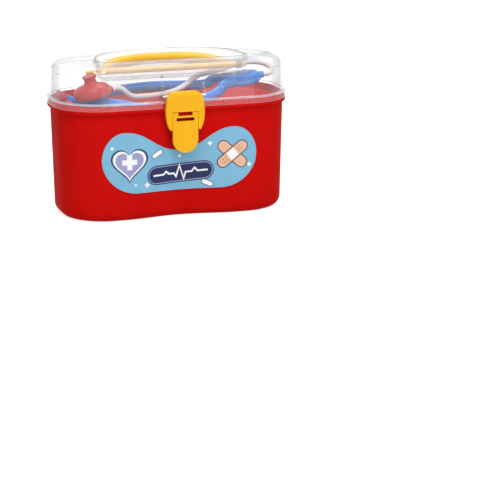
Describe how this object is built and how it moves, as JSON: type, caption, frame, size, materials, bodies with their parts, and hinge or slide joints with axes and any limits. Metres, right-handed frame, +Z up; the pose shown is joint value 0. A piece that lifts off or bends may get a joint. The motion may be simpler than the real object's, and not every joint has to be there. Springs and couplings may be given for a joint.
{
  "type": "toy doctor case",
  "caption": "Toy doctor case with a tub, a clear hinged lid, a fold-down handle in a recess, a swinging latch and a toy stethoscope lying inside.",
  "frame": {"origin": "centre of the tub's flat underside", "axes": "+X along the case's length, to the right seen from the latch side; the latch and label face -Y; +Z up"},
  "size_m": [0.24, 0.1297, 0.1557],
  "materials": {
    "tub_red": "smooth moulded plastic",
    "lid_clear": "clear moulded plastic",
    "handle_yellow": "smooth moulded plastic",
    "latch_yellow": "smooth moulded plastic",
    "pin_steel": "plain drawn wire",
    "label_printed": "printed film sticker",
    "stethoscope_blue": "smooth moulded plastic",
    "stethoscope_red": "smooth moulded plastic",
    "diaphragm_white": "thin plain sheet",
    "hose_grey": "soft extruded hose"
  },
  "bodies": {
    "tub": {"case_tub": "tub_red", "front_label": "label_printed", "hinge_pin_left": "pin_steel", "hinge_pin_right": "pin_steel", "hub_base": "stethoscope_blue", "hub_cap": "stethoscope_blue", "arm_front": "stethoscope_blue", "arm_back": "stethoscope_blue", "ear_tip_front": "stethoscope_red", "ear_tip_back": "stethoscope_red", "chest_bell": "stethoscope_red", "chest_base": "stethoscope_blue", "chest_diaphragm": "diaphragm_white", "stethoscope_hose": "hose_grey"},
    "lid": {"case_lid": "lid_clear", "latch_pin": "pin_steel"},
    "handle": {"carry_handle": "handle_yellow"},
    "plate": {"latch_plate": "latch_yellow", "lever_pin_left": "pin_steel", "lever_pin_right": "pin_steel"},
    "lever": {"latch_lever": "latch_yellow"}
  },
  "joints": [
    {"name": "lid_hinge", "type": "hinge", "parent": "tub", "child": "lid", "pos_m": [0, 0.0622, 0.1115], "axis": [-1, 0, 0], "range_deg": [0, 110]},
    {"name": "handle_fold", "type": "hinge", "parent": "lid", "child": "handle", "pos_m": [0, 0, 0.1413], "axis": [1, 0, 0], "range_deg": [0, 110]},
    {"name": "latch_swing", "type": "hinge", "parent": "lid", "child": "plate", "pos_m": [0, -0.0593, 0.1237], "axis": [-1, 0, 0], "range_deg": [0, 95]},
    {"name": "lever_swing", "type": "hinge", "parent": "plate", "child": "lever", "pos_m": [0, -0.0619, 0.1062], "axis": [-1, 0, 0], "range_deg": [0, 60]}
  ]
}
